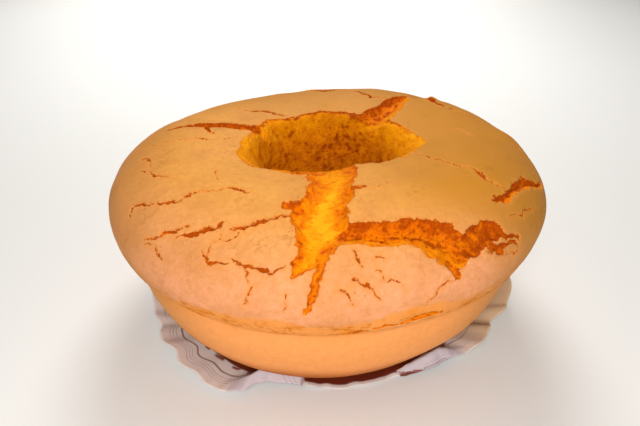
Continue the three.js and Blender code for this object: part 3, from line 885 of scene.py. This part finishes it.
    # The crumb is brown, orange or yellow by its tone, which is streaked, and darker as painted shade in its
    # flecks, where the bump sinks, and in its pores.
    streaks = add("TexNoise", {"Vector": place, "Scale": 1 / 0.006, "Detail": 6.0, "Roughness": 0.7})
    streak_share = add(
        "MapRange", {"Value": streaks, "From Min": 0.3, "From Max": 0.7, "To Min": -0.28, "To Max": 0.28})
    streaked = add("Math", {0: tone, 1: streak_share}, operation="ADD")
    flecks = add("TexNoise", {"Vector": place, "Scale": 1 / 0.0022, "Detail": 3.0, "Roughness": 0.6})
    fleck_shade = add("MapRange", {"Value": flecks, "From Min": 0.56, "From Max": 0.70, "To Max": 0.38})
    fleck_shaded = add("Math", {0: streaked, 1: fleck_shade}, operation="SUBTRACT")
    pore_shaded = add("Math", {0: dips, 1: -0.36, 2: fleck_shaded}, operation="MULTIPLY_ADD")
    split_crumb = add("ValToRGB", {"Fac": pore_shaded}, ramp=(
        (0.0, colours.crumb_brown), (0.22, colours.crumb_deep), (0.50, colours.crumb_orange),
        (0.90, colours.crumb_pale)))
    hole_crumb = add("ValToRGB", {"Fac": pore_shaded}, ramp=(
        (0.0, colours.hole_brown), (0.30, colours.hole_olive), (0.80, colours.hole_yellow)))
    in_hole = add("MapRange", {"Value": reach, "From Min": 0.056, "From Max": 0.046})
    crumb = add("Mix", {0: in_hole, 6: split_crumb, 7: hole_crumb}, data_type="RGBA")

    # The crust's edge is ragged, finer than the mesh shows.
    fray = add("TexNoise", {"Vector": place, "Scale": 1 / 0.0013, "Detail": 3.0})
    frayed = add("Math", {0: fray, 1: 1.6, 2: torn}, operation="MULTIPLY_ADD")
    is_torn = add("MapRange", {"Value": frayed, "From Min": 0.70, "From Max": 1.05})
    colour = add("Mix", {0: is_torn, 6: skin, 7: crumb}, data_type="RGBA")

    # Fine wrinkles and pores a millimetre across on the crust, open pores in the crumb.
    skin_grain = add("TexNoise", {"Vector": place, "Scale": 1 / 0.0022, "Detail": 6.0, "Roughness": 0.7})
    skin_height = add("Math", {0: crazing, 1: -0.5, 2: skin_grain}, operation="MULTIPLY_ADD")
    skin_height = add("Math", {0: lip_tears, 1: -1.2, 2: skin_height}, operation="MULTIPLY_ADD")
    crumb_height = add("Math", {0: flecks, 1: -1.5}, operation="MULTIPLY")
    height = add("Mix", {0: is_torn, 2: skin_height, 3: crumb_height})
    strength = add("MapRange", {"Value": is_torn, "To Min": 0.32, "To Max": 0.7})
    bump = add("Bump", {"Height": height, "Strength": strength, "Distance": 0.0008})
    roughness = add("MapRange", {"Value": is_torn, "To Min": 0.62, "To Max": 0.9})
    shader = add("BsdfPrincipled", {
        "Base Color": colour, "Roughness": roughness, "IOR": 1.4, "Specular IOR Level": 0.12,
        "Normal": bump})
    add("OutputMaterial", {"Surface": shader})
    return material


class CAKE_OT_ring(bpy.types.Operator):
    """Add the ring sponge cake with its split crust"""

    bl_idname = "cake.ring"
    bl_label = "Cake ring"

    def execute(self, context):
        sizes = context.scene.cake_sizes
        mesh = turn_section(sizes)
        torn, in_hole, even = shape_ring(mesh, sizes)
        roughen_crumb(mesh, torn, in_hole, even)
        material = sponge_material(context.scene.cake_colours)
        add_piece("cake", mesh, material, "cake_ring")
        return {"FINISHED"}


# ---------------------------------------------------------------------------------------------
# The paper sheet


def body_height(sizes, radii):
    """The height of the cake's moulded side above the table at each radius."""
    out = np.clip((radii - sizes.base_radius) / (sizes.seam_radius - sizes.base_radius), 0.0, 1.0)
    up = np.cos(np.arcsin(out ** (BODY_FULLNESS / 2))) ** (2 / BODY_FULLNESS)
    return sizes.seam_height + (CAKE_LOW.z - sizes.seam_height) * up


# The sheet's rings: their radii in its flat middle, their number in its margin, and their steps.
FLAT_RINGS = (0, 20, 50, 66)
MARGIN_RINGS = 32
PAPER_STEPS = 480


def turn_sheet(paper):
    """A flat disc, with rings close together in its margin."""
    bm = bmesh.new()
    layer = bm.verts.layers.float.new("share")
    verts = [bm.verts.new((radius * MM, 0.0, 0.0)) for radius in FLAT_RINGS]
    for i in range(MARGIN_RINGS + 1):
        vert = bm.verts.new((paper.flat_radius * (1 + i / MARGIN_RINGS), 0.0, 0.0))
        vert[layer] = i / MARGIN_RINGS
        verts.append(vert)
    edges = [bm.edges.new(pair) for pair in zip(verts, verts[1:])]
    bmesh.ops.spin(
        bm, geom=verts + edges, cent=(0, 0, 0), axis=(0, 0, 1), angle=math.tau,
        steps=PAPER_STEPS, use_merge=True)
    bmesh.ops.remove_doubles(bm, verts=bm.verts, dist=0.001 * MM)
    bmesh.ops.recalc_face_normals(bm, faces=bm.faces)
    if sum(f.normal.z for f in bm.faces) < 0:
        bmesh.ops.reverse_faces(bm, faces=bm.faces)
    mesh = bpy.data.meshes.new("paper_sheet_skin")
    bm.to_mesh(mesh)
    bm.free()
    return mesh


# The room between the sheet and the cake above it, the radius that the painted shadow round the cake's foot
# ends at, and a distance from the edge where no line is printed.
PAPER_CLEARANCE = 0.6
FOOT_SHADOW_RADIUS = 105.0
UNPRINTED = 12.6


def shape_sheet(mesh, paper, sizes):
    """Cuts the disc to its edge, and curls and pleats its margin below the cake."""
    points = vertex_values(mesh, "co")
    bearings = bearings_of(points)
    radii = np.hypot(points[:, 0], points[:, 1])
    share = kept_values(mesh, "share")
    ring = np.stack([np.cos(np.radians(bearings)), np.sin(np.radians(bearings)), 0 * bearings], axis=1)
    edge = along_stops(bearings, PAPER_EDGE, 1) * MM
    edge = edge + 1.2 * MM * grain(ring, 0.09, 14)
    rise = along_stops(bearings, PAPER_EDGE, 2) * MM
    in_margin = share > 0
    radii = np.where(in_margin, paper.flat_radius + (edge - paper.flat_radius) * share, radii)

    # The folds reach their height at the crest and sink again towards the edge.
    fold = along_stops(bearings, PAPER_FOLDS, 1) * MM
    crest = along_stops(bearings, PAPER_FOLDS, 2)
    beyond = np.clip((share - crest) / (1.0 - crest), 0.0, 1.0)
    fold_share = np.clip((share - 0.45) / (crest - 0.45), 0.0, 1.0) ** 1.4 * (1.0 - 0.8 * beyond)

    # Small pleats ruffle the margin wherever it isn't folded.
    ruffles = grain(ring, 0.16, 11) + 0.6 * grain(ring, 0.07, 12)
    pleats = paper.pleat_height * (0.7 * ruffles + 0.5 * np.abs(grain(ring, 0.11, 13)))
    pleats *= 1.0 - 0.9 * smoothstep(fold, 0.5 * MM, 3.0 * MM)
    lift = rise * share ** paper.curl + 2.2 * pleats * share ** 1.5 + fold * fold_share
    ceiling = np.maximum(body_height(sizes, radii) - paper.thickness - PAPER_CLEARANCE * MM, 0.0)
    points[:, 0] = radii * ring[:, 0]
    points[:, 1] = radii * ring[:, 1]
    points[:, 2] = np.where(in_margin, np.clip(lift, 0.0, ceiling), 0.0)
    move_vertices(mesh, points)
    place_print(mesh, paper, bearings, radii, share, edge, fold, beyond)


def place_print(mesh, paper, bearings, radii, share, edge, fold, beyond):
    """Keeps where the print's border and bars, and the painted shadow round the cake's foot, lie, in
    millimetres.

    The two flaps at the front show other parts of the border than the margin beside them.
    """
    on_flap = smoothstep(fold, 1.5 * MM, 3.0 * MM) * (beyond > 0)
    on_left = bearings < -90
    slanted = UNPRINTED - 7.3 * np.clip((bearings + 107 - 3.0 * beyond) / 5.5, 0.0, 1.0)
    short_lines = np.where(np.abs(bearings + 52) < 4, 22.0 * beyond - 4.0, UNPRINTED)
    flap_edge = np.where(on_left, slanted, short_lines)
    # Painted shadow also lies on parts of the flaps.
    left_foot_shadow = 12.0 - 12.1 * smoothstep(bearings, -101, -98)
    right_foot_shadow = 16.0 * (1.0 - beyond) + 2.0 - 9.0 * smoothstep(-bearings, 55, 63)
    flap_foot_shadow = np.where(on_left, left_foot_shadow, right_foot_shadow)
    from_edge = (1.0 - share) * (edge - paper.flat_radius) / MM
    from_foot_shadow = radii / MM - np.minimum(FOOT_SHADOW_RADIUS, edge / MM - 2.5)
    store(mesh, "from_edge", from_edge + (flap_edge - from_edge) * on_flap)
    store(mesh, "from_foot_shadow", from_foot_shadow + (flap_foot_shadow - from_foot_shadow) * on_flap)
    store(mesh, "marked", np.maximum(smoothstep(edge, 110 * MM, 115 * MM), on_flap))
    store(mesh, "along", np.radians(bearings) * 120)
    # Where the flaps' painted shade lies.
    store(mesh, "turned", on_flap)
    # Browner paper towards the right, off the flaps.
    store(mesh, "browner_right", smoothstep(wave(bearings, 1, -4), 0.74, 0.92) * (1.0 - on_flap))


def paper_material(colours):
    """Thin white wrapping paper: smooth, faintly glossy, with a border printed near its edge."""
    material, add = new_material("printed_paper")
    place = add("TexCoord", output="Object")
    from_edge, from_foot_shadow, marked, along, turned, browner_right = (
        add("Attribute", output="Fac", attribute_name=name)
        for name in ("from_edge", "from_foot_shadow", "marked", "along", "turned", "browner_right")
    )

    # The print is a little uneven, as it is on thin crumpled paper, and fades towards the right, where the
    # paper is browner.
    waver = add("TexNoise", {"Vector": place, "Scale": 1 / 0.012, "Detail": 2.0})
    wavered = add("Math", {0: waver, 1: 1.6, 2: from_edge}, operation="MULTIPLY_ADD")
    fading = add("TexNoise", {"Vector": place, "Scale": 1 / 0.007, "Detail": 3.0})
    fading_share = add(
        "MapRange", {"Value": fading, "From Min": 0.35, "From Max": 0.65, "To Min": 0.25, "To Max": 0.85})
    crisp = add("MapRange", {"Value": browner_right, "To Min": 1.0, "To Max": 0.25})
    faded = add("Math", {0: fading_share, 1: crisp}, operation="MULTIPLY")

    # Three thin lines 2 mm apart, from 6.5 mm inside the edge.
    in_lines = add("Math", {0: wavered, 1: 9.3, 2: 3.0}, operation="COMPARE")
    ripple = add("Math", {0: wavered, 1: 1.0}, operation="PINGPONG")
    on_line = add("MapRange", {"Value": ripple, "From Min": 0.55, "From Max": 0.85})
    thin = add("Math", {0: in_lines, 1: on_line}, operation="MULTIPLY")
    thin_faded = add("Math", {0: thin, 1: faded}, operation="MULTIPLY")

    # One thicker line 14 mm inside the edge.
    past_thick = add("Math", {0: wavered, 1: 14.8}, operation="SUBTRACT")
    off_thick = add("Math", {0: past_thick}, operation="ABSOLUTE")
    on_thick = add("MapRange", {"Value": off_thick, "From Min": 0.9, "From Max": 0.3, "To Max": 0.9})
    thick = add("Math", {0: on_thick, 1: crisp}, operation="MULTIPLY")

    # Blunt bars about 6 mm long and 15 mm apart beside the painted shadow round the cake's foot.
    row_place = add("Math", {0: fading, 1: 3.0, 2: from_foot_shadow}, operation="MULTIPLY_ADD")
    past_row = add("Math", {0: row_place, 1: 2.6}, operation="SUBTRACT")
    off_row = add("Math", {0: past_row}, operation="ABSOLUTE")
    in_row = add("MapRange", {"Value": off_row, "From Min": 1.9, "From Max": 0.5})
    bent = add("Math", {0: waver, 1: 16.0, 2: along}, operation="MULTIPLY_ADD")
    bar_phase = add("Math", {0: bent, 1: 7.5}, operation="PINGPONG")
    bar_on = add("MapRange", {"Value": bar_phase, "From Min": 3.6, "From Max": 5.4})
    bar_row = add("Math", {0: in_row, 1: bar_on}, operation="MULTIPLY")
    bars = add("Math", {0: bar_row, 1: marked}, operation="MULTIPLY")
    # Painted shadow round the cake's foot.
    in_foot_shadow = add("MapRange", {"Value": from_foot_shadow, "From Min": 0.5, "From Max": -0.7})

    colour = colours.paper
    for share, over in (
        # Painted shade on the flaps.
        (turned, colours.back),
        (browner_right, colours.browner_right),
        (thin_faded, colours.thin_line),
        (thick, colours.thick_line),
        (bars, colours.marks),
        (in_foot_shadow, colours.foot_shadow),
    ):
        colour = add("Mix", {0: share, 6: colour, 7: over}, data_type="RGBA")

    # Soft crumples a centimetre across.
    crumple = add("TexNoise", {"Vector": place, "Scale": 1 / 0.009, "Detail": 4.0})
    bump = add("Bump", {"Height": crumple, "Strength": 0.35, "Distance": 0.001})
    shader = add("BsdfPrincipled", {
        "Base Color": colour, "Roughness": 0.5, "IOR": 1.5, "Specular IOR Level": 0.4, "Normal": bump})
    add("OutputMaterial", {"Surface": shader})
    return material


class CAKE_OT_paper(bpy.types.Operator):
    """Add the ruffled paper sheet under the cake"""

    bl_idname = "cake.paper"
    bl_label = "Paper sheet"

    def execute(self, context):
        paper = context.scene.paper_sizes
        mesh = turn_sheet(paper)
        shape_sheet(mesh, paper, context.scene.cake_sizes)
        piece = add_piece("paper", mesh, paper_material(context.scene.paper_colours), "paper_sheet")
        solid = piece.modifiers.new("thickness", "SOLIDIFY")
        solid.thickness = paper.thickness
        solid.offset = 1.0
        return {"FINISHED"}


# ---------------------------------------------------------------------------------------------
# The stage

# The lights: a name, a place, a target, a width, a power and a spread in degrees.
LIGHTS = (
    ("front", (0.0, -0.80, 0.50), (0, 0, 0.06), 0.3, 3.0, 180),
    ("near", (-0.03, -0.42, 0.36), (0, 0, 0.06), 0.12, 0.85, 180),
    ("top", (0.0, -0.10, 1.20), (0, 0, 0.05), 0.8, 0.7, 180),
    ("back", (0.0, 0.70, 0.90), (0, 0, 0.06), 0.5, 6.4, 180),
    ("far", (-0.15, 1.7, 1.3), (-0.15, 1.75, 0.0), 1.8, 18, 120),
)

# The colour of the lights, the room's own light, and the darker patches of the table.
LIGHT_COLOUR = "#fffaf2"
ROOM_COLOUR = "#fff6ea"
ROOM_STRENGTH = 0.19
FLOOR_SHADE = "#d4d2d0"

# The camera's sensor width in millimetres, and how far its lens is shifted, as shares of it.
SENSOR_WIDTH = 36.0
CAMERA_SHIFT = (-0.0062, 0.0324)


def add_area_light(name, place, target, size, power, spread):
    """Adds a soft round lamp that faces its target."""
    light = bpy.data.lights.new(name, "AREA")
    light.shape = "DISK"
    light.size = size
    light.energy = power
    light.spread = math.radians(spread)
    light.color = srgb(LIGHT_COLOUR)[:3]
    lamp = bpy.data.objects.new(name, light)
    lamp.location = place
    lamp.rotation_euler = (Vector(target) - Vector(place)).to_track_quat("-Z", "Y").to_euler()
    bpy.context.scene.collection.objects.link(lamp)


def floor_material(floor_colour):
    """A pale matt table top with the faintest unevenness in its tone, nearly a metre across."""
    material, add = new_material("pale_table")
    place = add("TexCoord", output="Object")
    tone = add("TexNoise", {"Vector": place, "Scale": 1 / 0.9, "Detail": 2.0})
    share = add("MapRange", {"Value": tone, "To Max": 0.05})
    colour = add("Mix", {0: share, 6: floor_colour, 7: srgb(FLOOR_SHADE)}, data_type="RGBA")
    shader = add("BsdfPrincipled", {"Base Color": colour, "Roughness": 0.9, "Specular IOR Level": 0.1})
    add("OutputMaterial", {"Surface": shader})
    return material


class CAKE_OT_stage(bpy.types.Operator):
    """Add the pale floor, the soft lights and the camera"""

    bl_idname = "cake.stage"
    bl_label = "Stage"

    def execute(self, context):
        stage = context.scene.stage_sizes
        bm = bmesh.new()
        bmesh.ops.create_grid(bm, x_segments=1, y_segments=1, size=stage.floor_width / 2)
        mesh = bpy.data.meshes.new("floor")
        bm.to_mesh(mesh)
        bm.free()
        mesh.materials.append(floor_material(stage.floor_colour))
        floor = bpy.data.objects.new("floor", mesh)
        context.scene.collection.objects.link(floor)

        world = bpy.data.worlds.new("soft_room")
        world.use_nodes = True
        background = world.node_tree.nodes["Background"]
        background.inputs["Color"].default_value = srgb(ROOM_COLOUR)
        background.inputs["Strength"].default_value = ROOM_STRENGTH
        context.scene.world = world
        context.scene.view_settings.view_transform = "Standard"
        for light in LIGHTS:
            add_area_light(*light)

        camera = bpy.data.cameras.new("camera")
        camera.lens = stage.lens
        camera.sensor_width = SENSOR_WIDTH
        camera.shift_x, camera.shift_y = CAMERA_SHIFT
        eye = bpy.data.objects.new("camera", camera)
        down, distance = stage.elevation, stage.camera_distance
        eye.location = (0.0, -distance * math.cos(down), stage.target_height + distance * math.sin(down))
        turn = Euler((math.pi / 2 - down, 0.0, 0.0)).to_matrix() @ Matrix.Rotation(stage.roll, 3, "Z")
        eye.rotation_euler = turn.to_euler()
        context.scene.collection.objects.link(eye)
        context.scene.camera = eye
        return {"FINISHED"}


class CAKE_PT_panel(bpy.types.Panel):
    """Lists the pieces of the cake"""

    bl_idname = "CAKE_PT_panel"
    bl_label = "Ring sponge cake"
    bl_space_type = "VIEW_3D"
    bl_region_type = "UI"
    bl_category = "Cake"

    def draw(self, context):
        for operator in OPERATORS:
            self.layout.operator(operator.bl_idname)


OPERATORS = (CAKE_OT_stage, CAKE_OT_ring, CAKE_OT_paper)
GROUPS = {
    "cake_sizes": CakeSizes,
    "cake_colours": CakeColours,
    "paper_sizes": PaperSizes,
    "paper_colours": PaperColours,
    "stage_sizes": StageSizes,
}


def register():
    for group in GROUPS.values():
        bpy.utils.register_class(group)
    for name, group in GROUPS.items():
        setattr(bpy.types.Scene, name, bpy.props.PointerProperty(type=group))
    for operator in OPERATORS:
        bpy.utils.register_class(operator)
    bpy.utils.register_class(CAKE_PT_panel)


def unregister():
    bpy.utils.unregister_class(CAKE_PT_panel)
    for operator in reversed(OPERATORS):
        bpy.utils.unregister_class(operator)
    for name in GROUPS:
        delattr(bpy.types.Scene, name)
    for group in reversed(GROUPS.values()):
        bpy.utils.unregister_class(group)


def main():
    register()
    bpy.ops.cake.stage()
    bpy.ops.cake.ring()
    bpy.ops.cake.paper()


if __name__ == "__main__":
    main()
